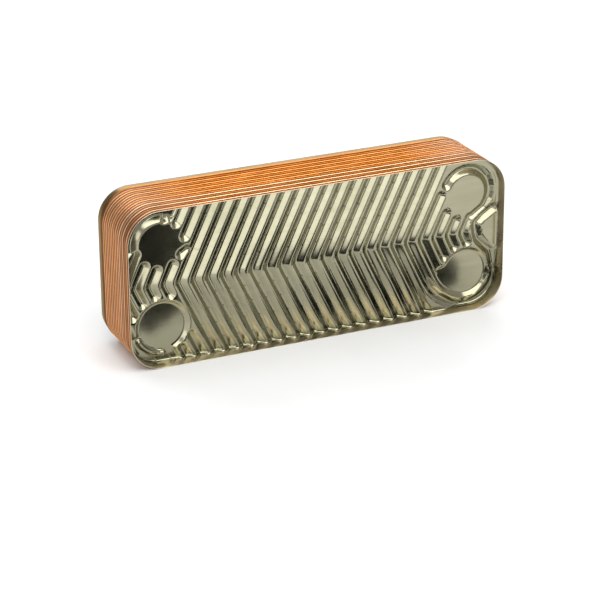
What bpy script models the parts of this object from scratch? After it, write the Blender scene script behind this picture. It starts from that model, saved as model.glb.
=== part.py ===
"""Brazed plate heat exchanger for a small boiler, as a stack of separate nested pans.

Frame: +X along the length, +Y towards the port side, +Z up. The stack stands on its long
edge, and the origin is the centre of the bounding box's bottom face. Depths are counted
from the front lip, the foremost edge of the blank face plate.
"""

import math

import bpy
from mathutils.geometry import delaunay_2d_cdt

MM = 0.001

# Outline of every pan at its lip
LENGTH = 190.0 * MM
HEIGHT = 76.0 * MM
CORNER_RADIUS = 15.6 * MM
ARC_SEGMENTS = 5

# The stack
PAN_COUNT = 16
PITCH = 2.28 * MM
SHEET = 0.3 * MM
FLARE = math.radians(14.0)
FLOOR_DEPTH = 6.3 * MM
PRESS_HALF = 0.8 * MM
CLEARANCE = 0.3 * MM

# Herringbone
RIB_PITCH = 7.22 * MM
RIB_SLOPE = 0.47
RIB_FLAT_SHARE = 0.185
RIB_END = 2.0 * MM
SHORTEST_FOLD = 5.0 * MM
BORDER = 1.6 * MM
CHANNEL_FIELD_HALF = 60.0 * MM

# Ports
PORT_SPACING_X = 154.0 * MM
PORT_SPACING_Z = 40.0 * MM
PORT_RADIUS = 9.0 * MM
PORT_SEGMENTS = 12
UPPER_DISC_RADIUS = 10.0 * MM
UPPER_DISC_PROUD = 0.3 * MM
LOWER_DISC_RADIUS = 11.2 * MM
RIB_TO_PORT = 13.0 * MM

# Port side
COVER_THICKNESS = 1.5 * MM
COVER_BACK_DEPTH = 41.2 * MM
RING_OUTER_RADIUS = 11.5 * MM
RING_PROUD = 1.0 * MM
RING_SEGMENTS = 20
BUSH_RADIUS = 5.0 * MM
BUSH_TAP_RADIUS = 2.1 * MM
BUSH_TAP_DEPTH = 4.5 * MM
BUSH_PROUD = 4.0 * MM
BUSH_SEGMENTS = 16

MID_Z = HEIGHT / 2
PORT_X = PORT_SPACING_X / 2
UPPER_PORT_Z = MID_Z + PORT_SPACING_Z / 2
LOWER_PORT_Z = MID_Z - PORT_SPACING_Z / 2
TOTAL_DEPTH = COVER_BACK_DEPTH + BUSH_PROUD
FRONT_LIP_Y = -TOTAL_DEPTH / 2
PORT_CENTRES = [(sx * PORT_X, z) for sx in (-1, 1) for z in (LOWER_PORT_Z, UPPER_PORT_Z)]
BUSH_CENTRES = [(-PORT_X, MID_Z), (PORT_X, MID_Z)]
CREST = -PRESS_HALF
VALLEY = PRESS_HALF


def clear_scene():
    for item in list(bpy.data.objects):
        bpy.data.objects.remove(item, do_unlink=True)


def metal(name, colour, roughness):
    made = bpy.data.materials.new(name)
    made.use_nodes = True
    shader = made.node_tree.nodes["Principled BSDF"]
    shader.inputs["Base Color"].default_value = (*colour, 1.0)
    shader.inputs["Metallic"].default_value = 1.0
    shader.inputs["Roughness"].default_value = roughness
    return made


def add_object(name, points, faces, material, smooth_angle=math.radians(30)):
    """One closed mesh as one named object."""
    mesh = bpy.data.meshes.new(name)
    mesh.from_pydata(points, [], faces)
    mesh.materials.append(material)
    mesh.shade_smooth()
    mesh.set_sharp_from_angle(angle=smooth_angle)
    made = bpy.data.objects.new(name, mesh)
    bpy.context.scene.collection.objects.link(made)
    return made


def circle(centre, radius, segments):
    """Points of a circle in the plane of the plates, as (x, z)."""
    turns = [2 * math.pi * (i + 0.5) / segments for i in range(segments)]
    return [(centre[0] + radius * math.cos(a), centre[1] + radius * math.sin(a)) for a in turns]


def rounded_outline(inset):
    """The pan's outline, moved inwards, as (x, z) points that run anticlockwise."""
    radius = CORNER_RADIUS - inset
    reach_x = LENGTH / 2 - CORNER_RADIUS
    reach_z = HEIGHT / 2 - CORNER_RADIUS
    points = []
    for corner, (sx, sz) in enumerate([(1, 1), (-1, 1), (-1, -1), (1, -1)]):
        for step in range(ARC_SEGMENTS + 1):
            turn = math.pi / 2 * (corner + step / ARC_SEGMENTS)
            x = sx * reach_x + radius * math.cos(turn)
            z = MID_Z + sz * reach_z + radius * math.sin(turn)
            points.append((x, z))
    return points


def inside_outline(x, z, inset):
    """True where (x, z) lies inside the outline moved inwards by inset."""
    past_x = abs(x) - (LENGTH / 2 - CORNER_RADIUS)
    past_z = abs(z - MID_Z) - (HEIGHT / 2 - CORNER_RADIUS)
    if past_x > 0 and past_z > 0:
        return math.hypot(past_x, past_z) < CORNER_RADIUS - inset
    return max(past_x, past_z) < CORNER_RADIUS - inset


def clear_of_ports(x, z, radius):
    return all(math.hypot(x - px, z - pz) > radius for px, pz in PORT_CENTRES)


def kept_runs(start, end, allowed, step=0.2 * MM):
    """The stretches of a straight line on which allowed(x, z) holds."""
    span = math.hypot(end[0] - start[0], end[1] - start[1])
    count = max(2, int(span / step))

    def at(i):
        share = i / count
        return (start[0] + (end[0] - start[0]) * share, start[1] + (end[1] - start[1]) * share)

    runs = []
    current = []
    for i in range(count + 1):
        point = at(i)
        if allowed(*point):
            current.append(point)
        elif current:
            runs.append((current[0], current[-1]))
            current = []
    if current:
        runs.append((current[0], current[-1]))
    return [run for run in runs if run[0] != run[1]]


class Sheet:
    """A pan's floor seen along Y: loops and fold lines, each with its own level."""

    def __init__(self):
        self.points = []
        self.levels = []
        self.edges = []

    def add(self, points_and_levels, closed):
        first = len(self.points)
        self.points += [point for point, _ in points_and_levels]
        self.levels += [level for _, level in points_and_levels]
        last = len(self.points) - 1
        self.edges += [(i, i + 1) for i in range(first, last)]
        if closed:
            self.edges.append((last, first))
        return list(range(first, last + 1))

    def add_loop(self, points, level):
        return self.add([(point, level) for point in points], True)

    def triangles(self, holes):
        """Triangles between the folds, anticlockwise in (x, z), with the holes left open."""
        found, _, faces, origin, _, _ = delaunay_2d_cdt(self.points, self.edges, [], 1, 1e-9)
        if len(found) != len(self.points):
            raise ValueError("fold lines cross each other")
        source = [names[0] for names in origin]
        kept = []
        for face in faces:
            corners = [source[i] for i in face]
            if not any(hole.issuperset(corners) for hole in holes):
                kept.append(corners)
        return kept


def fold_arms(phase, opens_right):
    """Upper and lower arms of every V at one phase of the rib pitch, as (apex, end)."""
    side = 1 if opens_right else -1
    reach = RIB_SLOPE * MID_Z
    first = -int((LENGTH / 2 + reach) / RIB_PITCH) - 1
    last = int(LENGTH / 2 / RIB_PITCH) + 1
    arms = []
    for i in range(first, last + 1):
        apex_x = (i + phase) * RIB_PITCH
        for end_z in (0.0, HEIGHT):
            arms.append(((side * apex_x, MID_Z), (side * (apex_x + reach), end_z)))
    return arms


def between(start, end, distance):
    """The point on a line at a distance from its start."""
    share = distance / math.dist(start, end)
    return (start[0] + (end[0] - start[0]) * share, start[1] + (end[1] - start[1]) * share)


def fold_points(start, end, level, rest_level, apex):
    """A fold line as (point, level) pairs. It runs out to the border's level, but not at its apex."""
    points = [(start, level)]
    if start != apex:
        points = [(start, rest_level), (between(start, end, RIB_END), level)]
    points.append((between(end, start, RIB_END), level))
    points.append((end, rest_level))
    return points


def add_folds(sheet, phase, level, rest_level, opens_right, allowed):
    """Adds one family of fold lines. The two arms of a V meet in one shared point."""
    arms = fold_arms(phase, opens_right)
    for lower, upper in zip(arms[::2], arms[1::2]):
        apex = lower[0]
        through = []
        for arm in (lower, upper):
            for start, end in kept_runs(*arm, allowed):
                if math.dist(start, end) < SHORTEST_FOLD:
                    continue
                line = fold_points(start, end, level, rest_level, apex)
                if start != apex:
                    sheet.add(line, False)
                elif through:
                    through = through[:0:-1] + line
                else:
                    through = line
        if through:
            sheet.add(through, False)


def skirt_inset(depth, inner):
    """How far the skirt has drawn in from the lip's outer edge, that depth behind the lip."""
    return depth * math.tan(FLARE) + (SHEET / math.cos(FLARE) if inner else 0.0)


def build_pan(name, index, sheet, rim, holes, material, border, floor=SHEET):
    """A pan: its floor, drawn as a sheet of two skins, and a skirt that flares to the lip."""
    lip_y = FRONT_LIP_Y + index * PITCH
    floor_y = lip_y + FLOOR_DEPTH
    front_depth = FLOOR_DEPTH + border - floor / 2
    back_depth = FLOOR_DEPTH + border + floor / 2
    front_rim = rounded_outline(skirt_inset(front_depth, True))
    back_rim = rounded_outline(skirt_inset(back_depth, False))
    lip_outer = rounded_outline(0.0)
    lip_inner = rounded_outline(SHEET / math.cos(FLARE))

    count = len(sheet.points)
    triangles = sheet.triangles([set(hole) for hole in holes])
    front = [(x, floor_y + level - floor / 2, z) for (x, z), level in zip(sheet.points, sheet.levels)]
    back = [(x, floor_y + level + floor / 2, z) for (x, z), level in zip(sheet.points, sheet.levels)]
    for i, near, far in zip(rim, front_rim, back_rim):
        front[i] = (near[0], front[i][1], near[1])
        back[i] = (far[0], back[i][1], far[1])
    points = front + back
    points += [(x, lip_y, z) for x, z in lip_inner]
    points += [(x, lip_y, z) for x, z in lip_outer]

    faces = [tuple(corners) for corners in triangles]
    faces += [tuple(count + i for i in reversed(corners)) for corners in triangles]
    turns = len(rim)
    inner = [2 * count + i for i in range(turns)]
    outer = [2 * count + turns + i for i in range(turns)]
    for i in range(turns):
        j = (i + 1) % turns
        faces.append((rim[j], rim[i], inner[i], inner[j]))
        faces.append((inner[j], inner[i], outer[i], outer[j]))
        faces.append((outer[j], outer[i], count + rim[i], count + rim[j]))
    for hole in holes:
        for i, j in zip(hole, hole[1:] + hole[:1]):
            faces.append((i, j, count + j, count + i))
    return add_object(name, points, faces, material)


def blank_face_plate(material):
    """The last plate of the stack: herringbone over its whole floor and four unpierced discs."""
    sheet = Sheet()
    rim = sheet.add_loop(rounded_outline(skirt_inset(FLOOR_DEPTH + VALLEY, False)), VALLEY)
    for x, z in PORT_CENTRES:
        upper = z > MID_Z
        radius = UPPER_DISC_RADIUS if upper else LOWER_DISC_RADIUS
        level = CREST - UPPER_DISC_PROUD if upper else VALLEY
        sheet.add_loop(circle((x, z), radius, PORT_SEGMENTS), level)

    def allowed(x, z):
        edge = skirt_inset(FLOOR_DEPTH + VALLEY, True) + BORDER
        return inside_outline(x, z, edge) and clear_of_ports(x, z, RIB_TO_PORT)

    half_flat = RIB_FLAT_SHARE / 2
    for centre, level in ((0.0, CREST), (0.5, VALLEY)):
        for side in (-half_flat, half_flat):
            add_folds(sheet, centre + side, level, VALLEY, True, allowed)
    return build_pan("blank_face_plate", 0, sheet, rim, [], material, VALLEY)


def channel_plate(index, material):
    """A plate between two channels. Every other one is turned half round in its own plane."""
    sheet = Sheet()
    rim = sheet.add_loop(rounded_outline(skirt_inset(FLOOR_DEPTH, False)), 0.0)
    turned = index % 2 == 1
    holes = []
    for x, z in PORT_CENTRES:
        raised = (z > MID_Z) != turned
        level = CREST if raised else VALLEY
        holes.append(sheet.add_loop(circle((x, z), PORT_RADIUS, PORT_SEGMENTS), level))

    def allowed(x, z):
        edge = skirt_inset(FLOOR_DEPTH, True) + BORDER
        return abs(x) < CHANNEL_FIELD_HALF and inside_outline(x, z, edge)

    for phase, level in ((0.0, CREST), (0.5, VALLEY)):
        add_folds(sheet, phase, level, 0.0, not turned, allowed)
    return build_pan(f"channel_plate_{index:02d}", index, sheet, rim, holes, material, 0.0)


def port_cover_plate(material):
    """The rearmost pan: a thick flat floor with four port openings and two bush holes."""
    index = PAN_COUNT - 1
    border = COVER_BACK_DEPTH - COVER_THICKNESS / 2 - index * PITCH - FLOOR_DEPTH
    sheet = Sheet()
    rim = sheet.add_loop(rounded_outline(skirt_inset(FLOOR_DEPTH + border, False)), border)
    holes = []
    for centre in PORT_CENTRES:
        hole = circle(centre, RING_OUTER_RADIUS + CLEARANCE, RING_SEGMENTS)
        holes.append(sheet.add_loop(hole, border))
    for centre in BUSH_CENTRES:
        hole = circle(centre, BUSH_RADIUS + CLEARANCE, BUSH_SEGMENTS)
        holes.append(sheet.add_loop(hole, border))
    return build_pan("port_cover_plate", index, sheet, rim, holes, material, border, COVER_THICKNESS)


def copper_seam(index, material):
    """What a braze foil leaves at the edge: a fillet in the notch ahead of the next lip."""
    lip_y = FRONT_LIP_Y + index * PITCH
    end_depth = PITCH - CLEARANCE
    outer = 0.02 * MM
    gap = CLEARANCE / math.cos(FLARE)
    start_depth = (gap + outer) / math.tan(FLARE)
    section = [
        (start_depth, outer),
        (end_depth, outer),
        (end_depth, end_depth * math.tan(FLARE) - gap),
    ]
    loops = [(depth, rounded_outline(inset)) for depth, inset in section]
    turns = len(loops[0][1])
    points = [(x, lip_y + depth, z) for depth, loop in loops for x, z in loop]
    faces = []
    for ring in range(3):
        following = (ring + 1) % 3
        for i in range(turns):
            j = (i + 1) % turns
            a, b = ring * turns, following * turns
            faces.append((a + j, a + i, b + i, b + j))
    return add_object(f"copper_seam_{index + 1:02d}", points, faces, material)


def turned_piece(name, centre, profile, segments, material, closed_bore):
    """A piece turned about Y. Its profile runs from the bore's mouth out and round, as (depth, radius)."""
    points = []
    for depth, radius in profile:
        points += [(x, FRONT_LIP_Y + depth, z) for x, z in circle(centre, radius, segments)]
    faces = []
    rings = len(profile)
    joins = rings - 1 if closed_bore else rings
    for ring in range(joins):
        following = (ring + 1) % rings
        for i in range(segments):
            j = (i + 1) % segments
            a, b = ring * segments, following * segments
            faces.append((a + i, a + j, b + j, b + i))
    if closed_bore:
        last = (rings - 1) * segments
        faces.append(tuple(range(segments - 1, -1, -1)))
        faces.append(tuple(last + i for i in range(segments)))
    return add_object(name, points, faces, material)


def port_ring(name, centre, material):
    """A collar that lines a port and stands proud as the seat of a round seal."""
    near = COVER_BACK_DEPTH - COVER_THICKNESS
    far = COVER_BACK_DEPTH + RING_PROUD
    profile = [
        (near, PORT_RADIUS),
        (far, PORT_RADIUS),
        (far, RING_OUTER_RADIUS),
        (near, RING_OUTER_RADIUS),
    ]
    return turned_piece(name, centre, profile, RING_SEGMENTS, material, False)


def fixing_bush(name, centre, material):
    """A round bush with a blind tapped hole, brazed into the cover between two ports."""
    near = COVER_BACK_DEPTH - COVER_THICKNESS
    far = COVER_BACK_DEPTH + BUSH_PROUD
    profile = [
        (far - BUSH_TAP_DEPTH, BUSH_TAP_RADIUS),
        (far, BUSH_TAP_RADIUS),
        (far, BUSH_RADIUS),
        (near, BUSH_RADIUS),
    ]
    return turned_piece(name, centre, profile, BUSH_SEGMENTS, material, True)


def build():
    clear_scene()
    steel = metal("stamped_steel", (0.60, 0.59, 0.53), 0.22)
    inner_steel = metal("channel_steel", (0.55, 0.53, 0.48), 0.30)
    cover_steel = metal("cover_steel", (0.58, 0.58, 0.54), 0.30)
    copper = metal("braze_copper", (0.80, 0.40, 0.18), 0.35)
    ring_steel = metal("port_ring_steel", (0.62, 0.62, 0.60), 0.25)

    blank_face_plate(steel)
    for index in range(1, PAN_COUNT - 1):
        channel_plate(index, inner_steel)
    port_cover_plate(cover_steel)
    for index in range(PAN_COUNT - 1):
        copper_seam(index, copper)
    for side, sx in (("left", -1), ("right", 1)):
        for row, z in (("lower", LOWER_PORT_Z), ("upper", UPPER_PORT_Z)):
            port_ring(f"port_ring_{side}_{row}", (sx * PORT_X, z), ring_steel)
        fixing_bush(f"fixing_bush_{side}", (sx * PORT_X, MID_Z), ring_steel)


build()
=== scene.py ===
"""Looks of the brazed plate heat exchanger: its fine surfaces, metals, light and camera.

Depths are counted from the front lip towards the port side, and insets inwards from the lip's
outer edge. Lengths are in millimetres up to the point where a mesh or a material needs metres,
and MM converts them. Lights and the camera are placed in metres.
"""

import math

import bpy
import numpy as np
from mathutils import Matrix, Vector
from mathutils.geometry import delaunay_2d_cdt


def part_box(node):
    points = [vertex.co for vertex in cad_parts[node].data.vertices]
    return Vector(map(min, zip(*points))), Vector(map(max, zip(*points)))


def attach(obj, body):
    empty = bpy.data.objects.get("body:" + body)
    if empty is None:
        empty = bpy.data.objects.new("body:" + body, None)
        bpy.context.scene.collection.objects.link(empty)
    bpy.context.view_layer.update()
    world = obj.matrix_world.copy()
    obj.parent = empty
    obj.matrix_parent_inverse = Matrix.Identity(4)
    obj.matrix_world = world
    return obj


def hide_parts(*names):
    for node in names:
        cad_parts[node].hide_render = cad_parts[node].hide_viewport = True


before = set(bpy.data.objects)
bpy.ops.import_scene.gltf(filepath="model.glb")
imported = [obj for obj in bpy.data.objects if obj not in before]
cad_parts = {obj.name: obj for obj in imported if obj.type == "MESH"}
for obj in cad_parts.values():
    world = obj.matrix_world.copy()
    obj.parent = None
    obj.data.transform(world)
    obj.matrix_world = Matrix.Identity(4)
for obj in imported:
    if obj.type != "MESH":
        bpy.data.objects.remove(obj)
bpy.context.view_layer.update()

MM = 0.001

# The outline and the stack, as the frame gives them
FACE_LOW, FACE_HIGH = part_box("blank_face_plate")
FRONT_Y = FACE_LOW.y / MM
HALF_LENGTH = FACE_HIGH.x / MM
HEIGHT = FACE_HIGH.z / MM
MID_Z = HEIGHT / 2
PAN_COUNT = 2 + sum(name.startswith("channel_plate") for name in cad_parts)
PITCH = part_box("channel_plate_01")[0].y / MM - FRONT_Y
COVER_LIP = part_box("port_cover_plate")[0].y / MM - FRONT_Y
COVER_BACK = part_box("port_cover_plate")[1].y / MM - FRONT_Y
RING_LOW, RING_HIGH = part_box("port_ring_right_upper")
RING_BACK = RING_HIGH.y / MM - FRONT_Y
RING_OUTER = (RING_HIGH.x - RING_LOW.x) / 2 / MM
BUSH_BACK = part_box("fixing_bush_right")[1].y / MM - FRONT_Y
PORT_X = (RING_HIGH.x + RING_LOW.x) / 2 / MM
UPPER_Z = (RING_HIGH.z + RING_LOW.z) / 2 / MM
LOWER_Z = HEIGHT - UPPER_Z
PORTS = [(sx * PORT_X, z) for sx in (-1, 1) for z in (LOWER_Z, UPPER_Z)]

# Pressed sheet. The pockets are POCKET_SHARE as deep as the valleys.
CORNER_RADIUS = 15.6
FLARE = math.tan(math.radians(5.5))
SHEET = 0.22
CREST_DEPTH = 5.2
VALLEY_DEPTH = 7.4
POCKET_WALL = 2.1
POCKET_SHARE = 0.88
FLOOR_INSET = 1.9
FLOOR_CELL = 0.45

# A skirt's outer side in section: depths behind its lip, and the inset at each
SKIRT_END = VALLEY_DEPTH + 0.15
SKIRT_DEPTHS = [0.0, 0.45, 1.1, PITCH, SKIRT_END]
SKIRT_INSETS = [0.0, 0.02, 0.27, 0.42, 0.78]

# Herringbone. Ribs lean by RIB_SLOPE for each unit of height above or below their apex. A groove
# is flat for VALLEY_HALF to either side, then rises over SLOPE_WIDTH, with bends rounded by BEND.
RIB_PITCH = 7.22
RIB_SLOPE = 0.47
FIRST_GROOVE = -16
GUTTER_GROOVE = 6
POCKET_GROOVE = 7
LAST_GROOVE = 10
VALLEY_HALF = 0.3
SLOPE_WIDTH = 2.6
BEND = 0.16
APEX_ROUND = 1.0

# The blank port areas, as (x, z) centres, and how far the grooves stay away from each
LEFT_UPPER = (-77.6, 58.0)
LEFT_LOWER = (-77.5, 18.0)
RIGHT_UPPER = (77.6, 58.0)
RIGHT_LOWER = (77.5, 18.0)
CLEAR_RADIUS = {LEFT_UPPER: 12.4, LEFT_LOWER: 15.4, RIGHT_UPPER: 13.7, RIGHT_LOWER: 14.8}

# Channel plates. Their port lands stand off the floor by LAND_OFFSET, to either side.
CHANNEL_FLOOR = 6.3
LAND_OFFSET = 0.8
LAND_OUTER = 11.5
PORT_BORE = 8.62
FLANGE_DEPTH = 5.9
# How many of the first pans take the brown copper tones; those behind take amber.
BROWN_FRONT_PANS = 5

# Port side
COVER_SHEET = 1.5
COVER_ROUND = 1.6
COVER_GAP = 0.02
FILLET_TUCK = 0.02
RING_BORE = 9.0
BUSH_OUTER = 5.0


# ---------------------------------------------------------------- materials


class Shader:
    """A node material with a Principled shader, built a node at a time."""

    def __init__(self, name, metallic=1.0):
        self.material = bpy.data.materials.new(name)
        self.material.use_nodes = True
        self.tree = self.material.node_tree
        self.surface = self.tree.nodes["Principled BSDF"]
        self.surface.inputs["Metallic"].default_value = metallic
        self.place = self.tree.nodes.new("ShaderNodeTexCoord").outputs["Object"]

    def join(self, value, socket):
        """Feeds a socket from another node, a colour or a number."""
        if isinstance(value, bpy.types.NodeSocket):
            self.tree.links.new(value, socket)
        elif isinstance(value, tuple):
            socket.default_value = (*value, 1.0)
        else:
            socket.default_value = value

    def noise(self, scale, stretch=(1.0, 1.0, 1.0), detail=4.0, rough=0.55):
        """Noise in object space. scale is in cells per metre."""
        mapping = self.tree.nodes.new("ShaderNodeMapping")
        mapping.inputs["Scale"].default_value = stretch
        self.join(self.place, mapping.inputs["Vector"])
        texture = self.tree.nodes.new("ShaderNodeTexNoise")
        texture.inputs["Scale"].default_value = scale
        texture.inputs["Detail"].default_value = detail
        texture.inputs["Roughness"].default_value = rough
        self.join(mapping.outputs["Vector"], texture.inputs["Vector"])
        return texture.outputs["Fac"]

    def ramp(self, value, low, high, from_value=0.0, to_value=1.0):
        """Maps low..high to from_value..to_value, clamped."""
        ranged = self.tree.nodes.new("ShaderNodeMapRange")
        ranged.inputs["From Min"].default_value = low
        ranged.inputs["From Max"].default_value = high
        ranged.inputs["To Min"].default_value = from_value
        ranged.inputs["To Max"].default_value = to_value
        self.join(value, ranged.inputs["Value"])
        return ranged.outputs["Result"]

    def mix(self, share, one, other):
        """Colour one where share is 0, the other where it is 1."""
        mixed = self.tree.nodes.new("ShaderNodeMix")
        mixed.data_type = "RGBA"
        self.join(share, mixed.inputs["Factor"])
        self.join(one, mixed.inputs["A"])
        self.join(other, mixed.inputs["B"])
        return mixed.outputs["Result"]

    def along(self, axis):
        """The object-space coordinate along one axis, in metres."""
        split = self.tree.nodes.new("ShaderNodeSeparateXYZ")
        self.join(self.place, split.inputs["Vector"])
        return split.outputs[axis]

    def math(self, operation, one, other=0.0):
        """A sum on one or two values."""
        made = self.tree.nodes.new("ShaderNodeMath")
        made.operation = operation
        self.join(one, made.inputs[0])
        self.join(other, made.inputs[1])
        return made.outputs["Value"]

    def finish(self, colour, roughness, height, distance, strength=0.5):
        """Joins the looks to the shader, with height as a bump, and gives the material."""
        self.join(colour, self.surface.inputs["Base Color"])
        self.join(roughness, self.surface.inputs["Roughness"])
        bump = self.tree.nodes.new("ShaderNodeBump")
        bump.inputs["Strength"].default_value = strength
        bump.inputs["Distance"].default_value = distance
        self.join(height, bump.inputs["Height"])
        self.join(bump.outputs["Normal"], self.surface.inputs["Normal"])
        return self.material


def braze_marks(shader):
    """A small dark spot in the valleys wherever a rib behind crosses and is brazed on."""
    rise = shader.math("ABSOLUTE", shader.math("SUBTRACT", shader.along("Z"), MID_Z * MM))
    shift = shader.math("SUBTRACT", shader.along("X"), shader.math("MULTIPLY", rise, RIB_SLOPE))
    from_crest = shader.math("PINGPONG", shift, RIB_PITCH / 2 * MM)
    from_valley = shader.math("SUBTRACT", RIB_PITCH / 2 * MM, from_crest)
    from_crossing = shader.math("PINGPONG", rise, RIB_PITCH / (4 * RIB_SLOPE) * MM)
    away = shader.math("ADD", from_valley, from_crossing)
    spot = shader.ramp(away, 0.3 * MM, 0.7 * MM, 0.75, 0.0)
    off_apex = shader.ramp(rise, 2.0 * MM, 3.0 * MM)
    off_middle = shader.math("ABSOLUTE", shader.along("X"))
    off_ports = shader.ramp(off_middle, 56.0 * MM, 60.0 * MM, 1.0, 0.0)
    return shader.math("MULTIPLY", spot, shader.math("MULTIPLY", off_apex, off_ports))


def pressed_steel():
    """Stainless sheet after vacuum brazing: satin, faintly warm, with rolling grain and haze.

    Its base colour is dark because it mirrors an overexposed white floor. The skirt and the lip
    are painted paler, as a painted highlight.
    """
    shader = Shader("pressed_steel")
    haze = shader.ramp(shader.noise(38.0, detail=3.0), 0.35, 0.7)
    grain = shader.noise(420.0, stretch=(0.08, 1.0, 1.0), detail=3.0)
    specks = shader.ramp(shader.noise(1500.0, detail=2.0), 0.68, 0.74)
    colour = shader.mix(haze, (0.345, 0.333, 0.23), (0.288, 0.277, 0.184))
    colour = shader.mix(shader.ramp(grain, 0.3, 0.75, 0.0, 0.3), colour, (0.475, 0.45, 0.34))
    colour = shader.mix(shader.ramp(specks, 0.0, 1.0, 0.0, 0.35), colour, (0.25, 0.22, 0.15))
    colour = shader.mix(braze_marks(shader), colour, (0.05, 0.045, 0.03))
    depth = shader.along("Y")
    # Painted highlight: in front of the floor, the fillet and the skirt are painted paler.
    skirt = shader.ramp(depth, (FRONT_Y + 4.2) * MM, (FRONT_Y + 5.1) * MM, 0.8, 0.0)
    colour = shader.mix(skirt, colour, (0.70, 0.60, 0.46))
    # Painted highlight: a pale line along the front lip.
    lip = shader.ramp(depth, (FRONT_Y + 0.25) * MM, (FRONT_Y + 0.5) * MM, 0.8, 0.0)
    colour = shader.mix(lip, colour, (0.80, 0.77, 0.64))
    roughness = shader.ramp(shader.noise(90.0, detail=5.0), 0.3, 0.75, 0.13, 0.23)
    roughness = shader.math("ADD", roughness, shader.math("MULTIPLY", skirt, 0.15))
    return shader.finish(colour, roughness, grain, 0.01 * MM, 0.12)


def copper_film(name, light, deep, roughness, spots, lip=None, rim=(1.0, 0.7, 0.4), painted_end_light=0.88):
    """Copper that has run out of the joint and frozen: two tones, brown spots, fine ripples.

    Towards the ends of the exchanger it takes a duller tone, by the share the last argument gives:
    painted light on the end walls, paler at the right, darker at the left, with painted shade at the
    front. With a lip colour, the front of every other pan's skirt is paler, a painted highlight
    along those lips.
    """
    shader = Shader(name)
    shader.surface.inputs["Specular Tint"].default_value = (*rim, 1.0)
    flow = shader.noise(60.0, stretch=(1.0, 3.0, 1.0), detail=5.0, rough=0.6)
    colour = shader.mix(shader.ramp(flow, 0.36, 0.62), light, deep)
    streaks = shader.noise(300.0, stretch=(0.12, 2.0, 0.6), detail=3.0)
    colour = shader.mix(shader.ramp(streaks, 0.42, 0.7, 0.0, 0.65), colour, deep)
    brown = shader.ramp(shader.noise(170.0, detail=4.0), 0.60, 0.72, 0.0, spots)
    colour = shader.mix(brown, colour, (0.16, 0.06, 0.02))
    # Painted light on the end walls: a duller tone, paler towards the right end and darker towards the
    # left, with painted shade at their front.
    ends = shader.ramp(shader.math("ABSOLUTE", shader.along("X")), 52.0 * MM, 82.0 * MM)
    side = shader.ramp(shader.along("X"), -90.0 * MM, 70.0 * MM)
    front = shader.ramp(shader.along("Y"), (FRONT_Y + 4.0) * MM, (FRONT_Y + 13.0) * MM, 0.75, 0.0)
    end_tone = shader.mix(side, (0.70, 0.45, 0.29), (0.95, 0.63, 0.46))
    end_tone = shader.mix(front, end_tone, (0.24, 0.10, 0.045))
    colour = shader.mix(shader.math("MULTIPLY", ends, painted_end_light), colour, end_tone)
    # Painted highlight: a pale band just behind every other lip, weaker on the end walls.
    if lip:
        period = 2 * PITCH * MM
        past_lip = shader.math("SUBTRACT", shader.along("Y"), (FRONT_Y + PITCH) * MM)
        share = shader.math("FRACT", shader.math("DIVIDE", past_lip, period))
        uneven = shader.ramp(shader.noise(110.0, detail=4.0), 0.3, 0.7, -0.07, 0.07)
        band = shader.ramp(shader.math("ADD", share, uneven), 0.24, 0.36, 1.0, 0.0)
        kept = shader.ramp(ends, 0.0, 1.0, 1.0, 0.45)
        colour = shader.mix(shader.math("MULTIPLY", band, kept), colour, lip)
    fine = shader.noise(900.0, detail=3.0)
    rough = shader.ramp(fine, 0.3, 0.7, roughness - 0.08, roughness + 0.1)
    return shader.finish(colour, rough, fine, 0.03 * MM, 0.4)


def cover_steel():
    """The cover: grey satin sheet, stained by copper where its skirt meets the last joint."""
    shader = Shader("cover_steel")
    haze = shader.ramp(shader.noise(30.0, detail=4.0), 0.35, 0.7)
    grain = shader.noise(500.0, stretch=(0.05, 1.0, 1.0), detail=3.0)
    shader.surface.inputs["Specular Tint"].default_value = (0.9, 0.75, 0.55, 1.0)
    steel = shader.mix(haze, (0.27, 0.268, 0.225), (0.21, 0.208, 0.165))
    steel = shader.mix(shader.ramp(grain, 0.35, 0.75, 0.0, 0.3), steel, (0.42, 0.42, 0.37))
    edge = shader.ramp(shader.noise(120.0, detail=4.0), 0.2, 0.8, -0.7 * MM, 0.7 * MM)
    reach = shader.math("ADD", shader.along("Y"), edge)
    stain_end = (FRONT_Y + COVER_LIP + 3.2) * MM
    stained = shader.ramp(reach, stain_end - 0.3 * MM, stain_end + 0.3 * MM, 1.0, 0.0)
    colour = shader.mix(stained, steel, (0.42, 0.20, 0.075))
    # Painted shade: the cover's left end is painted near black.
    left_end_shade = shader.ramp(shader.along("X"), -93.0 * MM, -78.0 * MM, 0.8, 0.0)
    colour = shader.mix(left_end_shade, colour, (0.04, 0.025, 0.01))
    roughness = shader.ramp(shader.noise(110.0, detail=4.0), 0.3, 0.7, 0.24, 0.38)
    return shader.finish(colour, roughness, grain, 0.02 * MM, 0.4)


def turned_steel():
    """Machined stainless of the rings and bushes, with fine tool marks."""
    shader = Shader("turned_steel")
    marks = shader.noise(1400.0, stretch=(1.0, 4.0, 1.0), detail=2.0)
    cloud = shader.ramp(shader.noise(140.0, detail=3.0), 0.3, 0.7)
    colour = shader.mix(cloud, (0.60, 0.60, 0.56), (0.50, 0.49, 0.43))
    roughness = shader.ramp(marks, 0.3, 0.7, 0.2, 0.32)
    return shader.finish(colour, roughness, marks, 0.015 * MM, 0.5)


def channel_steel():
    """Inner plates: steel under a thin flash of copper."""
    shader = Shader("channel_steel")
    flash = shader.ramp(shader.noise(150.0, detail=4.0), 0.4, 0.62)
    fine = shader.noise(1100.0, detail=2.0)
    colour = shader.mix(flash, (0.45, 0.43, 0.36), (0.66, 0.33, 0.16))
    roughness = shader.ramp(fine, 0.3, 0.7, 0.28, 0.42)
    return shader.finish(colour, roughness, fine, 0.02 * MM, 0.4)


# ---------------------------------------------------------------- meshes


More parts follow.
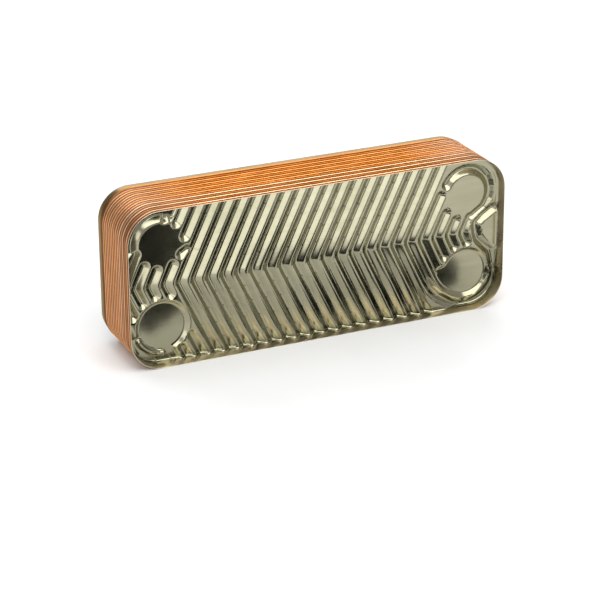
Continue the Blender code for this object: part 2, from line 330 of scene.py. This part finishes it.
def add_piece(name, node, points, faces, materials, slots=None, sharp=32.0):
    """One piece in place of a node, from points in millimetres, on the exchanger's one body.

    slots gives each face's material. Edges that turn by more than sharp degrees stay hard.
    """
    mesh = bpy.data.meshes.new(name)
    mesh.from_pydata((np.asarray(points) * MM).tolist(), [], [tuple(f) for f in faces])
    for material in materials:
        mesh.materials.append(material)
    if slots is not None:
        mesh.polygons.foreach_set("material_index", np.asarray(slots, dtype=np.int32))
    mesh.shade_smooth()
    mesh.set_sharp_from_angle(angle=math.radians(sharp))
    mesh.update()
    piece = bpy.data.objects.new(name, mesh)
    bpy.context.scene.collection.objects.link(piece)
    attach(piece, "root")
    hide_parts(node)


def ring_faces(loops, count, closed=True):
    """Quads that join loops of count points each, and the last to the first if closed."""
    faces = []
    for ring in range(loops if closed else loops - 1):
        a = ring * count
        b = (ring + 1) % loops * count
        for i in range(count):
            j = (i + 1) % count
            faces.append((a + i, a + j, b + j, b + i))
    return faces


class Outline:
    """The pan's rounded outline: points on the lip's outer edge, outward normals, run length."""

    def __init__(self, arc_steps=24, cell=1.1):
        reach_x = HALF_LENGTH - CORNER_RADIUS
        reach_z = MID_Z - CORNER_RADIUS
        points = []
        normals = []
        corners = [(1, 1), (-1, 1), (-1, -1), (1, -1)]
        for corner, (sx, sz) in enumerate(corners):
            for step in range(arc_steps):
                turn = math.pi / 2 * (corner + step / arc_steps)
                points.append((sx * reach_x, MID_Z + sz * reach_z))
                normals.append((math.cos(turn), math.sin(turn)))
            turn = math.pi / 2 * (corner + 1)
            ahead = corners[(corner + 1) % 4]
            start = np.array((sx * reach_x, MID_Z + sz * reach_z))
            end = np.array((ahead[0] * reach_x, MID_Z + ahead[1] * reach_z))
            count = int(np.linalg.norm(end - start) / cell)
            for step in range(count):
                points.append(tuple(start + (end - start) * step / count))
                normals.append((math.cos(turn), math.sin(turn)))
        self.normals = np.array(normals)
        self.points = np.array(points) + CORNER_RADIUS * self.normals
        steps = np.linalg.norm(np.roll(self.points, -1, 0) - self.points, axis=1)
        self.run = np.concatenate([[0.0], np.cumsum(steps)[:-1]])
        self.length = steps.sum()
        self.count = len(self.points)

    def loop(self, depth, inset):
        """The outline at a depth behind the front lip, moved inwards by inset."""
        flat = self.points - self.normals * np.broadcast_to(inset, self.count)[:, None]
        depths = np.broadcast_to(depth, self.count)
        return np.column_stack([flat[:, 0], FRONT_Y + depths, flat[:, 1]])

    def ripple(self, seed, waves, low, high):
        """A smooth closed random curve along the outline, between about low and high."""
        rng = np.random.default_rng(seed)
        total = np.zeros(self.count)
        for wave in waves:
            phase = rng.uniform(0, 2 * math.pi)
            total += rng.uniform(0.6, 1.0) * np.sin(2 * math.pi * wave * self.run / self.length + phase)
        share = 0.5 + 0.5 * total / len(waves)
        return low + (high - low) * np.clip(share, 0, 1)


def skirt_inset(depth):
    """How far a skirt's outer side lies in from the lip's outer edge, at a depth behind the lip."""
    return np.interp(depth, SKIRT_DEPTHS, SKIRT_INSETS)


def circle(centre, radius, segments):
    """Points (x, z) round a centre. The radius may differ from point to point."""
    turns = 2 * math.pi * np.arange(segments) / segments
    return np.column_stack([centre[0] + radius * np.cos(turns), centre[1] + radius * np.sin(turns)])


def circle_loop(centre, radius, depth, segments):
    """The same circle in space, at a depth that may differ from point to point too."""
    flat = circle(centre, radius, segments)
    return np.column_stack([flat[:, 0], FRONT_Y + np.broadcast_to(depth, segments), flat[:, 1]])


# ---------------------------------------------------------------- the pressed face


def ramp_soft(value):
    """0 below 0, 1 above 1, straight in between, with rounded bends."""

    def area(v):
        return np.where(v < 0, 0.0, np.where(v > 1, v - 0.5, v * v / 2))

    return (area(value + BEND) - area(value - BEND)) / (2 * BEND)


def to_stroke(x, z, points):
    """Distance from (x, z) to a line through the given points."""
    best = np.full(np.shape(x), 1e9)
    for (ax, az), (bx, bz) in zip(points[:-1], points[1:]):
        span = (bx - ax) ** 2 + (bz - az) ** 2
        share = np.clip(((x - ax) * (bx - ax) + (z - az) * (bz - az)) / span, 0, 1)
        best = np.minimum(best, np.hypot(x - ax - share * (bx - ax), z - az - share * (bz - az)))
    return best


def inside_by(x, z, corners):
    """How far inside a convex outline (x, z) lies, negative outside. Corners run anticlockwise."""
    least = np.full(np.shape(x), 1e9)
    for (ax, az), (bx, bz) in zip(corners, corners[1:] + corners[:1]):
        length = math.hypot(bx - ax, bz - az)
        least = np.minimum(least, ((bx - ax) * (z - az) - (bz - az) * (x - ax)) / length)
    return least


def arc(centre, radius, start, end, steps=14):
    """Points along an arc, angles in degrees."""
    turns = np.radians(np.linspace(start, end, steps))
    return [(centre[0] + radius * math.cos(a), centre[1] + radius * math.sin(a)) for a in turns]


def round_centre(centre, x, z):
    """Distance of (x, z) from a centre, and the angle round it, from 0 to 360 degrees."""
    across = x - centre[0]
    up = z - centre[1]
    return np.hypot(across, up), np.degrees(np.arctan2(up, across)) % 360


def groove_arm(index, upward, step=0.25):
    """The stretches of one groove's arm that lie clear of the port areas, from its apex out."""
    apex = RIB_PITCH * (index + 0.5)
    runs = []
    current = []
    for reach in np.arange(0, MID_Z + step, step):
        z = MID_Z + reach if upward else MID_Z - reach
        x = apex + RIB_SLOPE * reach
        if all(math.dist((x, z), centre) >= clear for centre, clear in CLEAR_RADIUS.items()):
            current.append((x, z))
        elif current:
            runs.append((current[0], current[-1]))
            current = []
    if current:
        runs.append((current[0], current[-1]))
    return [run for run in runs if run[0] != run[1]]


def straight_grooves():
    """The herringbone's grooves, but for the stretches that the port areas' own grooves replace."""
    strokes = []
    for index in range(FIRST_GROOVE, LAST_GROOVE + 1):
        for upward in (True, False):
            for run in groove_arm(index, upward):
                x, z = run[0]
                right_end = x > RIGHT_UPPER[0] + 4 and abs(z - MID_Z) > 4
                left_corner = x < LEFT_UPPER[0] + 1.5 and z > LEFT_UPPER[1] - 4
                over_right_disc = x > RIGHT_UPPER[0] - 14 and z > RIGHT_UPPER[1]
                redrawn = index in (GUTTER_GROOVE, POCKET_GROOVE) and not upward
                if not (right_end or left_corner or over_right_disc or redrawn):
                    strokes.append(list(run))
    return strokes


def grooves():
    """Every stroke of the press tool's grooves, each a list of points."""
    drop = 18.5
    apex = RIB_PITCH * (POCKET_GROOVE + 0.5)
    pocket_arm = [(apex, MID_Z), (apex + RIB_SLOPE * drop, MID_Z - drop)]
    gutter = [(46.9, MID_Z), (56.6, 17.4), (59.6, 12.2), (63.6, 7.7)]
    gutter += arc(RIGHT_LOWER, 16.2, -124, 4)
    left_hook = [(-61.5, 52.8), (-64.5, 53.4), (-67.3, 51.8)]
    right_ring = arc(RIGHT_UPPER, 12.2, 152, -20) + [(87.0, 50.0), (81.0, 46.0), (79.4, 45.6)]
    end_upper = [(91.6, 48.6), (86.0, 45.0), (82.7, 42.0), (82.9, MID_Z)]
    end_lower = [(82.9, MID_Z), (84.2, 34.0), (87.5, 30.0), (91.0, 26.5), (92.6, 19.0)]
    own = [pocket_arm, gutter, left_hook, right_ring, end_upper, end_lower]
    return straight_grooves() + own


def pockets():
    """Sunk discs as (centre, radius). The right lower one tapers into its groove, in steps."""
    discs = [(LEFT_LOWER, 11.3)]
    for share in np.linspace(0, 1, 14):
        sag = 1.8 * math.sin(math.pi * share)
        centre = (RIGHT_LOWER[0] - 14.0 * share, RIGHT_LOWER[1] + 1.8 * share - sag)
        discs.append((centre, 10.8 - 9.4 * share))
    return discs


def face_depth(x, z):
    """Depth of the pressed face behind the front lip at (x, z).

    dent is 0 on the ribs and 1 in the valleys. The grooves' apexes are rounded by a small shift.
    """
    rise = np.abs(z - MID_Z)
    rounded_x = x - RIB_SLOPE * (np.hypot(rise, APEX_ROUND) - rise)
    nearest = np.full(np.shape(x), 1e9)
    for stroke in grooves():
        nearest = np.minimum(nearest, to_stroke(rounded_x, z, stroke))
    dent = ramp_soft((VALLEY_HALF + SLOPE_WIDTH - nearest) / SLOPE_WIDTH)

    # A three-cornered emboss at the right end
    emboss = inside_by(x, z, [(85.8, 38.6), (93.6, 30.4), (93.6, 46.2)])
    dent = dent - 0.6 * ramp_soft(emboss / 1.3)

    for centre, radius in pockets():
        away, _ = round_centre(centre, x, z)
        pocket = ramp_soft((radius + POCKET_WALL - away) / POCKET_WALL)
        dent = np.maximum(dent, POCKET_SHARE * pocket)

    # The left upper disc falls away to the corner
    away, turn = round_centre(LEFT_UPPER, x, z)
    side = ramp_soft((turn - 52) / 10) * ramp_soft((198 - turn) / 8)
    dent = np.maximum(dent, side * ramp_soft((away - 10.4) / 3.3))

    # The left lower pocket is open to a land in the corner, with a raised bead on it
    away, turn = round_centre(LEFT_LOWER, x, z)
    side = ramp_soft((turn - 190) / 8) * ramp_soft((300 - turn) / 8)
    land = POCKET_SHARE * side * ramp_soft((away - 9.0) / 2.0)
    dent = np.maximum(dent, land)
    bead = to_stroke(x, z, arc(LEFT_LOWER, 13.0, 208, 270))
    dent = dent - 0.75 * side * ramp_soft((1.5 - bead) / 1.1)
    return CREST_DEPTH + (VALLEY_DEPTH - CREST_DEPTH) * dent


def floor_grid():
    """The x and z of a grid over the face's floor, with its corners bent to the outline."""
    corner = CORNER_RADIUS - FLOOR_INSET
    half_x = HALF_LENGTH - FLOOR_INSET
    half_z = MID_Z - FLOOR_INSET
    bend_cells = round(corner / FLOOR_CELL)

    def stations(half):
        inner = half - corner
        inner_cells = round(2 * inner / FLOOR_CELL)
        edge = np.linspace(-half, -inner, bend_cells + 1)
        return np.concatenate([edge[:-1], np.linspace(-inner, inner, inner_cells + 1), -edge[::-1][1:]])

    x, z = np.meshgrid(stations(half_x), stations(half_z))
    u = np.clip((np.abs(x) - half_x + corner) / corner, 0, None)
    v = np.clip((np.abs(z) - half_z + corner) / corner, 0, None)
    both = (u > 0) & (v > 0)
    reach = np.maximum(u, v)
    least = np.minimum(u, v) / np.where(reach > 0, reach, 1)
    turn = np.where(u >= v, least * math.pi / 4, math.pi / 2 - least * math.pi / 4)
    bent_x = half_x - corner + corner * reach * np.cos(turn)
    bent_z = half_z - corner + corner * reach * np.sin(turn)
    x = np.where(both, np.sign(x) * bent_x, x)
    z = np.where(both, np.sign(z) * bent_z, z)
    return x, z + MID_Z


def outward(x, z):
    """Outward normals of the rounded outline near points, and their distance from its spine."""
    past_x = np.clip(np.abs(x) - (HALF_LENGTH - CORNER_RADIUS), 0, None) * np.sign(x)
    past_z = np.clip(np.abs(z - MID_Z) - (MID_Z - CORNER_RADIUS), 0, None) * np.sign(z - MID_Z)
    length = np.hypot(past_x, past_z)
    share = 1 / np.maximum(length, 1e-6)
    return np.column_stack([past_x * share, past_z * share]), length


def lip_section(depth):
    """A rounded lip in section, from its inner to its outer side, as (depth, inset)."""
    half = SHEET / 2
    turns = np.radians([0, 35, 70, 110, 145, 180])
    return [(depth + half * (1 - math.sin(a)), half + half * math.cos(a)) for a in turns]


def build_face(steel, copper):
    """The blank face plate: pressed floor, fillet, flared skirt, rounded lip and outer side."""
    x, z = floor_grid()
    rows, columns = x.shape
    depth = face_depth(x, z)
    points = [np.column_stack([x.ravel(), FRONT_Y + depth.ravel(), z.ravel()])]
    index = np.arange(rows * columns).reshape(rows, columns)
    quads = np.stack([index[:-1, :-1], index[:-1, 1:], index[1:, 1:], index[1:, :-1]], -1)
    faces = [tuple(q) for q in quads.reshape(-1, 4).tolist()]
    border = np.concatenate([index[0, :-1], index[:-1, -1], index[-1, :0:-1], index[:0:-1, 0]])
    floor_x = x.ravel()[border]
    floor_z = z.ravel()[border]
    floor_depth = depth.ravel()[border]
    normals, _ = outward(floor_x, floor_z)
    count = len(border)

    def loop(depths, insets):
        """One point for each point of the floor's border, at a depth and an inset."""
        shift = FLOOR_INSET - np.broadcast_to(insets, count)
        flat = np.column_stack([floor_x, floor_z]) + normals * shift[:, None]
        return np.column_stack([flat[:, 0], FRONT_Y + np.broadcast_to(depths, count), flat[:, 1]])

    loops = []
    fillet = 1.0
    wall = SHEET + (floor_depth - fillet) * FLARE
    for turn in np.radians([18, 36, 54, 72, 86]):
        inset = wall + (FLOOR_INSET - wall) * (1 - math.sin(turn))
        loops.append(loop(floor_depth - fillet * (1 - math.cos(turn)), inset))
    near_lip = 2.4
    loops.append(loop(near_lip, SHEET + near_lip * FLARE))
    for lip_depth, lip_inset in lip_section(0.0):
        loops.append(loop(lip_depth, lip_inset))
    outer_from = len(loops)
    for skirt_depth in (*SKIRT_DEPTHS[1:-1], 2 * PITCH, SKIRT_END):
        loops.append(loop(skirt_depth, skirt_inset(skirt_depth)))
    first = rows * columns
    points += loops
    previous = border.tolist()
    slots = [0] * len(faces)
    for ring in range(len(loops)):
        current = list(range(first + ring * count, first + (ring + 1) * count))
        for i in range(count):
            j = (i + 1) % count
            faces.append((current[j], current[i], previous[i], previous[j]))
            slots.append(1 if ring >= outer_from else 0)
        previous = current
    faces.append(tuple(previous[::-1]))
    slots.append(0)
    add_piece(
        "face_plate", "blank_face_plate",
        np.vstack(points), faces, [steel, copper], slots, 40.0,
    )


# ---------------------------------------------------------------- the stack behind it


def pan_skirt(outline, index):
    """A pan's skirt as a thin closed band, from its lip back under the next pans.

    Its lip waves a little, and every other lip lies slightly lower.
    """
    lip = index * PITCH
    proud = outline.ripple(100 + index, (3, 7, 19), 0.0, 0.07)
    lowered = 0.0 if index % 2 else 0.1
    loops = []
    for depth, inset in lip_section(0.0)[::-1]:
        loops.append(outline.loop(lip + depth, inset + proud + lowered))
    back = FLANGE_DEPTH + 0.25
    loops.append(outline.loop(lip + back, SHEET + skirt_inset(back)))
    for depth in (back, *SKIRT_DEPTHS[-2:0:-1]):
        loops.append(outline.loop(lip + depth, skirt_inset(depth) + 0.5 * proud))
    return np.vstack(loops), ring_faces(len(loops), outline.count)


def port_land(centre, near, far):
    """The flat ring round one port of a plate, between two depths."""
    segments = 48
    section = [(PORT_BORE, near), (PORT_BORE, far), (LAND_OUTER, far), (LAND_OUTER, near)]
    loops = [circle_loop(centre, radius, depth, segments) for radius, depth in section]
    return np.vstack(loops), ring_faces(len(loops), segments)


def plate_floor(node, lip):
    """A copy of a channel plate's CAD mesh with its coarse skirt folded flat into a flange.

    The lip's points go down to the flange and inwards. Those of the outer side go deeper, which
    gives the flange its thickness.
    """
    thickness = 0.3
    inwards = 0.75
    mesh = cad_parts[node].data
    points = np.array([v.co for v in mesh.vertices], float) / MM
    normals, reach = outward(points[:, 0], points[:, 2])
    at_lip = points[:, 1] < FRONT_Y + lip + 0.5
    outer_side = reach > CORNER_RADIUS - 0.15
    flange = FRONT_Y + lip + FLANGE_DEPTH + np.where(outer_side, thickness, 0.0)
    points[:, 1] = np.where(at_lip, flange, points[:, 1])
    moved = np.where(at_lip, inwards, 0.0)[:, None] * normals
    points[:, 0] -= moved[:, 0]
    points[:, 2] -= moved[:, 1]
    return points, [tuple(p.vertices) for p in mesh.polygons]


def build_channel_plate(outline, index, skirt_metal, inner_metal):
    """One plate of the stack: a fine skirt, the CAD's floor and its port lands.

    Every other plate is turned half round, so its raised and sunk lands change places. A land
    covers the CAD's own one, by more on the side that it is pressed to.
    """
    pressed_side = 0.35
    other_side = 0.18
    node = f"channel_plate_{index:02d}"
    lip = index * PITCH
    parts = [(pan_skirt(outline, index), 0), (plate_floor(node, lip), 1)]
    flipped = index % 2 == 1
    for centre in PORTS:
        if (centre[1] > MID_Z) != flipped:
            level = lip + CHANNEL_FLOOR - LAND_OFFSET
            land = port_land(centre, level - pressed_side, level + other_side)
        else:
            level = lip + CHANNEL_FLOOR + LAND_OFFSET
            land = port_land(centre, level - other_side, level + pressed_side)
        parts.append((land, 1))
    points = []
    faces = []
    slots = []
    total = 0
    for (part_points, part_faces), slot in parts:
        points.append(part_points)
        faces += [tuple(total + i for i in f) for f in part_faces]
        slots += [slot] * len(part_faces)
        total += len(part_points)
    add_piece(
        f"{node}_pan", node,
        np.vstack(points), faces, [skirt_metal, inner_metal], slots,
    )


def build_seam(outline, index, copper):
    """The uneven copper fillet in the notch ahead of one lip."""
    node = f"copper_seam_{index:02d}"
    lip = index * PITCH
    tucked = lip + 0.03
    reach = outline.ripple(200 + index, (5, 13, 29, 61), 0.3, 0.9)
    climb = outline.ripple(300 + index, (7, 17, 41), 0.08, 0.2)
    start = outline.loop(lip - reach, skirt_inset(PITCH - reach) - 0.01)
    waist = outline.loop(lip - 0.35 * reach, 0.3 + 0.2 * climb)
    top = outline.loop(tucked, climb)
    under = outline.loop(tucked, SHEET + 0.1)
    faces = [f[::-1] for f in ring_faces(4, outline.count)]
    add_piece(
        f"{node}_fillet", node,
        np.vstack([start, waist, top, under]), faces, [copper], sharp=60.0,
    )


# ---------------------------------------------------------------- the port side


def plate_with_holes(border, holes):
    """Triangles between a border loop and hole loops, as indices into all points in order."""
    loops = [border] + holes
    points = np.vstack(loops)
    edges = []
    hole_sets = []
    first = 0
    for loop in loops:
        names = list(range(first, first + len(loop)))
        edges += list(zip(names, names[1:] + names[:1]))
        if first:
            hole_sets.append(set(names))
        first += len(loop)
    _, _, found, origin, _, _ = delaunay_2d_cdt([Vector(p) for p in points], edges, [], 1, 1e-7)
    source = [old[0] for old in origin]
    kept = []
    for face in found:
        corners = [source[i] for i in face]
        if not any(hole.issuperset(corners) for hole in hole_sets):
            kept.append(corners)
    return kept


def build_cover(outline, steel):
    """The port cover: a skirt, a rounded back edge and a flat back with six openings."""
    inner_floor = COVER_BACK - COVER_SHEET
    section = [(inner_floor, 2.4), (inner_floor - 1.0, 1.5)] + lip_section(COVER_LIP)
    skirt_end = COVER_BACK - COVER_ROUND
    side = (skirt_end - COVER_LIP) * FLARE
    section += [(COVER_LIP + PITCH, PITCH * FLARE), (skirt_end, side)]
    for turn in np.radians([18, 36, 54, 72, 90]):
        depth = skirt_end + COVER_ROUND * math.sin(turn)
        section.append((depth, side + COVER_ROUND * (1 - math.cos(turn))))
    loops = [outline.loop(depth, inset) for depth, inset in section]
    count = outline.count
    faces = [f[::-1] for f in ring_faces(len(loops), count, closed=False)]

    holes = [circle(centre, RING_OUTER + COVER_GAP, 72) for centre in PORTS]
    holes += [circle((sx * PORT_X, MID_Z), BUSH_OUTER + COVER_GAP, 48) for sx in (-1, 1)]
    hole_points = np.vstack(holes)
    hole_count = len(hole_points)
    points = list(loops)
    for depth in (inner_floor, COVER_BACK):
        y = np.full(hole_count, FRONT_Y + depth)
        points.append(np.column_stack([hole_points[:, 0], y, hole_points[:, 1]]))

    # The flat inner and outer sides, each between its border loop and the holes
    inner_holes = len(loops) * count
    outer_holes = inner_holes + hole_count
    last = len(loops) - 1
    for ring, first_hole, inner_side in ((0, inner_holes, True), (last, outer_holes, False)):
        source = [*range(ring * count, (ring + 1) * count), *range(first_hole, first_hole + hole_count)]
        border = loops[ring][:, [0, 2]]
        for corners in plate_with_holes(border, holes):
            face = tuple(source[i] for i in corners)
            faces.append(face if inner_side else face[::-1])

    # The walls of the holes
    first = 0
    for hole in holes:
        a = inner_holes + first
        b = outer_holes + first
        for i in range(len(hole)):
            j = (i + 1) % len(hole)
            faces.append((a + i, b + i, b + j, a + j))
        first += len(hole)
    add_piece("port_cover", "port_cover_plate", np.vstack(points), faces, [steel])


def fillet_profile(radius, size):
    """A concave copper fillet where a turned piece leaves the cover, as (depth, radius)."""
    foot = COVER_BACK + 0.01
    turns = np.radians([0, 30, 60, 90])
    return [(foot + size * (1 - math.sin(a)), radius + size * (1 - math.cos(a))) for a in turns]


def build_ring(name, centre, steel, copper):
    """A port ring, turned from a closed profile: chamfered bore and rim, and its braze fillet."""
    near = COVER_BACK - COVER_SHEET
    chamfer = 0.25
    braze = 0.45
    segments = 96
    profile = [(near, RING_BORE), (RING_BACK - chamfer, RING_BORE), (RING_BACK, RING_BORE + chamfer)]
    profile += [(RING_BACK, RING_OUTER - chamfer), (RING_BACK - chamfer, RING_OUTER)]
    slots = [0] * len(profile)
    fillet = fillet_profile(RING_OUTER, braze)
    profile += fillet
    profile += [(COVER_BACK - FILLET_TUCK, RING_OUTER + braze), (near, RING_OUTER)]
    slots += [1] * (len(fillet) + 1) + [0]
    loops = [circle_loop(centre, radius, depth, segments) for depth, radius in profile]
    faces = ring_faces(len(loops), segments)
    add_piece(
        name, name.replace("_seat", ""),
        np.vstack(loops), faces, [steel, copper], np.repeat(slots, segments),
    )


def build_bush(name, centre, steel, copper):
    """A fixing bush: chamfered, brazed in, with a real M5 thread in its blind hole."""
    near = COVER_BACK - COVER_SHEET
    chamfer = 0.4
    braze = 0.5
    segments = 48
    pitch = 0.8
    minor = 2.1
    major = 2.45
    bottom = BUSH_BACK - 4.5
    thread_from = bottom + 0.3
    thread_to = BUSH_BACK - 0.5
    round_share = np.arange(segments) / segments

    profile = [(bottom, minor)]
    for depth in np.linspace(thread_from, thread_to, 41):
        wave = (depth / pitch - round_share) % 1.0
        profile.append((depth, minor + (major - minor) * (1 - np.abs(2 * wave - 1))))
    profile += [(BUSH_BACK, major + 0.25), (BUSH_BACK, BUSH_OUTER - chamfer)]
    profile += [(BUSH_BACK - chamfer, BUSH_OUTER)]
    slots = [0] * len(profile)
    fillet = fillet_profile(BUSH_OUTER, braze)
    profile += fillet
    profile += [(COVER_BACK - FILLET_TUCK, BUSH_OUTER + braze), (near, BUSH_OUTER)]
    slots += [1] * (len(fillet) + 1)

    loops = [circle_loop(centre, radius, depth, segments) for depth, radius in profile]
    faces = ring_faces(len(loops), segments, closed=False)
    last = (len(loops) - 1) * segments
    faces.append(tuple(range(segments - 1, -1, -1)))
    faces.append(tuple(range(last, last + segments)))
    face_slots = np.repeat(slots, segments).tolist() + [0, 0]
    add_piece(
        name, name.replace("_threaded", ""),
        np.vstack(loops), faces, [steel, copper], face_slots,
    )


# ---------------------------------------------------------------- stage


def build_floor():
    """A plain pale floor under and all round the exchanger."""
    shader = Shader("pale_floor", metallic=0.0)
    cloud = shader.ramp(shader.noise(6.0, detail=3.0), 0.3, 0.7)
    fine = shader.noise(700.0, detail=2.0)
    colour = shader.mix(cloud, (0.86, 0.86, 0.86), (0.82, 0.82, 0.82))
    material = shader.finish(colour, 0.7, fine, 0.05 * MM, 0.2)
    mesh = bpy.data.meshes.new("floor")
    half = 6.0
    corners = [(-half, -half, 0.0), (half, -half, 0.0), (half, half, 0.0), (-half, half, 0.0)]
    mesh.from_pydata(corners, [], [(0, 1, 2, 3)])
    mesh.materials.append(material)
    floor = bpy.data.objects.new("floor", mesh)
    bpy.context.scene.collection.objects.link(floor)


def add_light(name, place, size, power):
    """A rectangular white softbox at place that faces the exchanger."""
    data = bpy.data.lights.new(name, "AREA")
    data.shape = "RECTANGLE"
    data.size, data.size_y = size
    data.energy = power
    light = bpy.data.objects.new(name, data)
    light.location = place
    middle = Vector((0.0, 0.0, 0.04))
    light.rotation_euler = (middle - Vector(place)).to_track_quat("-Z", "Y").to_euler()
    bpy.context.scene.collection.objects.link(light)


def build_light():
    """A pale world and five softboxes, the strongest in front and behind."""
    world = bpy.data.worlds.new("studio")
    world.use_nodes = True
    background = world.node_tree.nodes["Background"]
    background.inputs["Color"].default_value = (1.0, 1.0, 1.0, 1.0)
    background.inputs["Strength"].default_value = 0.5
    bpy.context.scene.world = world
    add_light("softbox_left", (-1.25, -1.0, 0.36), (0.8, 0.6), 3.0)
    add_light("softbox_front", (-0.05, -0.95, 1.2), (2.0, 1.0), 17.0)
    add_light("softbox_top", (0.1, 0.0, 1.7), (1.4, 1.2), 9.0)
    add_light("softbox_back", (-0.6, 1.4, 1.6), (1.4, 0.9), 8.0)
    add_light("backdrop_glow", (0.9, 1.8, 0.95), (2.0, 1.0), 15.0)


def add_flag(name, corners, low, high, material):
    """A black prism over an outline, between two heights. Only mirrored in the metal is it seen."""
    count = len(corners)
    points = [(x * MM, y * MM, z * MM) for z in (low, high) for x, y in corners]
    faces = [(i, (i + 1) % count, count + (i + 1) % count, count + i) for i in range(count)]
    faces += [tuple(range(count - 1, -1, -1)), tuple(range(count, 2 * count))]
    mesh = bpy.data.meshes.new(name)
    mesh.from_pydata(points, [], faces)
    mesh.materials.append(material)
    flag = bpy.data.objects.new(name, mesh)
    bpy.context.scene.collection.objects.link(flag)
    flag.visible_camera = False
    flag.visible_diffuse = False
    flag.visible_shadow = False


def build_flags():
    """Black flags on the floor before the face. Mirrored in it, they give the steel its darks."""
    shader = Shader("black_flag", metallic=0.0)
    grain = shader.noise(300.0)
    colour = shader.mix(grain, (0.004, 0.005, 0.004), (0.008, 0.009, 0.007))
    black = shader.finish(colour, 0.6, grain, 0.1 * MM, 0.2)
    add_flag("flag_left", [(-104, -92), (-30, -134), (-16, -112), (-92, -70)], 8, 58, black)
    add_flag("flag_foot", [(-84, -92), (-51, -110), (-40, -74), (-72, -47)], 0, 13, black)
    round_places = [(16, -46), (46, -38), (40, -66), (79, -51)]
    for number, centre in enumerate(round_places):
        add_flag(f"flag_round_{number}", circle(centre, 13.0, 20).tolist(), 0, 9, black)


def build_camera():
    """The photograph's viewpoint: left of centre, above, through a long lens.

    The values come from fitting a camera to the pan's corners and edges.
    """
    azimuth = math.radians(-24.27)
    elevation = math.radians(22.65)
    roll = -0.0071
    forward = Vector((
        -math.sin(azimuth) * math.cos(elevation),
        math.cos(azimuth) * math.cos(elevation),
        -math.sin(elevation),
    ))
    right = forward.cross(Vector((0, 0, 1))).normalized()
    up = right.cross(forward)
    across = math.cos(roll) * right + math.sin(roll) * up
    above = -math.sin(roll) * right + math.cos(roll) * up
    data = bpy.data.cameras.new("camera")
    data.sensor_width = 36.0
    data.lens = 143.72
    camera = bpy.data.objects.new("camera", data)
    place = Matrix.Translation((-0.43111, -0.95297, 0.44734))
    axes = Matrix((across, above, -forward)).transposed().to_4x4()
    camera.matrix_world = place @ axes
    bpy.context.scene.collection.objects.link(camera)
    bpy.context.scene.camera = camera


# ---------------------------------------------------------------- everything


def build():
    build_camera()
    steel = pressed_steel()
    inner = channel_steel()
    brown_tones = (0.78, 0.31, 0.10), (0.48, 0.16, 0.035)
    amber_tones = (0.98, 0.40, 0.11), (0.84, 0.25, 0.045)
    # Lip colour and rim tint for the painted highlight behind every other lip.
    lip_highlight = {"lip": (0.96, 0.80, 0.52), "rim": (1.0, 0.85, 0.65)}
    pale = copper_film("copper_pale", *brown_tones, 0.34, 0.3, **lip_highlight)
    bright = copper_film("copper_bright", *amber_tones, 0.34, 0.3, lip=(0.98, 0.50, 0.17))
    dull = copper_film("copper_dull", *brown_tones, 0.42, 0.4)
    amber = copper_film("copper_amber", *amber_tones, 0.40, 0.3)
    # Painted shade: the copper fillets in the notches ahead of the lips take this dark brown copper.
    seam = copper_film("copper_seam", (0.34, 0.10, 0.03), (0.16, 0.045, 0.012), 0.45, 0.5, painted_end_light=0.15)
    build_face(steel, dull)
    outline = Outline()
    for index in range(1, PAN_COUNT - 1):
        near = index <= BROWN_FRONT_PANS
        # Odd pans take the copies with a painted highlight band behind the lip, even pans the plain
        # ones.
        if index % 2:
            skirt = pale if near else bright
        else:
            skirt = dull if near else amber
        build_channel_plate(outline, index, skirt, inner)
    for index in range(1, PAN_COUNT):
        build_seam(outline, index, seam)
    build_cover(outline, cover_steel())
    fitting = turned_steel()
    for side, sx in (("left", -1), ("right", 1)):
        for row, z in (("lower", LOWER_Z), ("upper", UPPER_Z)):
            build_ring(f"port_ring_{side}_{row}_seat", (sx * PORT_X, z), fitting, bright)
        build_bush(f"fixing_bush_{side}_threaded", (sx * PORT_X, MID_Z), fitting, bright)
    build_floor()
    build_light()
    build_flags()
    bpy.context.scene.view_settings.view_transform = "Standard"


build()
